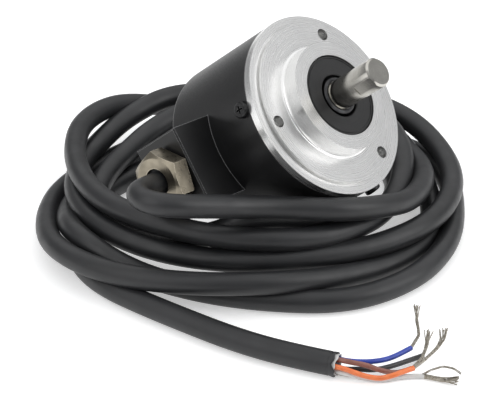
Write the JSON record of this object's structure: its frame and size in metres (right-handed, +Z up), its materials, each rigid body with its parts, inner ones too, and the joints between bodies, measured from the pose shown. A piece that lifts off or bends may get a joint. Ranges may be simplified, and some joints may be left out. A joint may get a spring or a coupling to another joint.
{
  "type": "rotary encoder",
  "caption": "Incremental shaft encoder with a round flange, a solid shaft and a side cable gland, leaning in the coil of its own cable with the wires bared.",
  "frame": {"origin": "on the surface it rests on, under the middle of the encoder's own box (its cable left out)", "axes": "+Z up, +X along the horizontal run of the shaft; the shaft rises 40.3 degrees above +X"},
  "size_m": [0.1519, 0.1226, 0.0594],
  "materials": {
    "machined_aluminium": "machined",
    "black_coat": "satin",
    "black_seal": "matte",
    "stainless": "ground",
    "bearing_steel": "polished",
    "screw_black": "black oxide",
    "nut_brass": "worn nickel plating",
    "rubber_black": "matte",
    "hub_aluminium": "turned",
    "disc_steel": "etched",
    "board_green": "solder resist",
    "holder_black": "moulded",
    "lens_clear": "clear",
    "reticle_clear": "clear",
    "chip_black": "moulded",
    "header_white": "moulded",
    "pillar_brass": "turned",
    "spring_steel": "spring",
    "cable_jacket": "matte PVC",
    "wire_blue": "insulation",
    "wire_brown": "insulation",
    "wire_black": "insulation",
    "wire_orange": "insulation",
    "wire_white": "insulation",
    "tinned_copper": "tinned"
  },
  "bodies": {
    "housing": {"flange": "machined_aluminium", "body_cover": "black_coat", "cover_screws": "screw_black", "cover_gasket": "rubber_black", "front_bearing_outer_ring": "bearing_steel", "rear_bearing_outer_ring": "bearing_steel", "preload_washer": "spring_steel", "seal_cover": "black_seal", "emitter_holder": "holder_black", "emitter_led": "lens_clear", "sensor_housing": "holder_black", "reticle_glass": "reticle_clear", "circuit_board": "board_green", "board_pillars": "pillar_brass", "board_screws": "stainless", "line_driver_chips": "chip_black", "cable_header": "header_white", "gland_body": "nut_brass", "gland_grommet": "rubber_black", "gland_nut": "nut_brass", "cable_lead": "cable_jacket", "cable_coil": "cable_jacket", "cable_tail": "cable_jacket", "wire_blue": "wire_blue", "wire_brown": "wire_brown", "wire_black": "wire_black", "wire_orange": "wire_orange", "wire_white": "wire_white", "shield_end": "tinned_copper"},
    "rotor": {"shaft": "stainless", "front_bearing_inner_ring": "bearing_steel", "rear_bearing_inner_ring": "bearing_steel", "bearing_spacer": "stainless", "shaft_collar": "black_seal", "shaft_clip": "spring_steel", "disc_hub": "hub_aluminium", "code_disc": "disc_steel", "disc_clamp_ring": "hub_aluminium", "disc_clamp_screws": "stainless"},
    "front_ball_set": {"front_bearing_balls": "bearing_steel", "front_bearing_cage": "spring_steel"},
    "rear_ball_set": {"rear_bearing_balls": "bearing_steel", "rear_bearing_cage": "spring_steel"}
  },
  "joints": [
    {"name": "shaft_spin", "type": "hinge", "parent": "housing", "child": "rotor", "pos_m": [0.0122, 0.00877, 0.04109], "axis": [0.7627, 0, 0.6468], "continuous": true},
    {"name": "front_cage_spin", "type": "hinge", "parent": "housing", "child": "front_ball_set", "pos_m": [0.01137, 0.00877, 0.04038], "axis": [0.7627, 0, 0.6468], "continuous": true},
    {"name": "rear_cage_spin", "type": "hinge", "parent": "housing", "child": "rear_ball_set", "pos_m": [0.00298, 0.00877, 0.03326], "axis": [0.7627, 0, 0.6468], "continuous": true}
  ],
  "couplings": [
    {"joint": "front_cage_spin", "follows": "shaft_spin", "ratio": 0.4},
    {"joint": "rear_cage_spin", "follows": "shaft_spin", "ratio": 0.4}
  ]
}
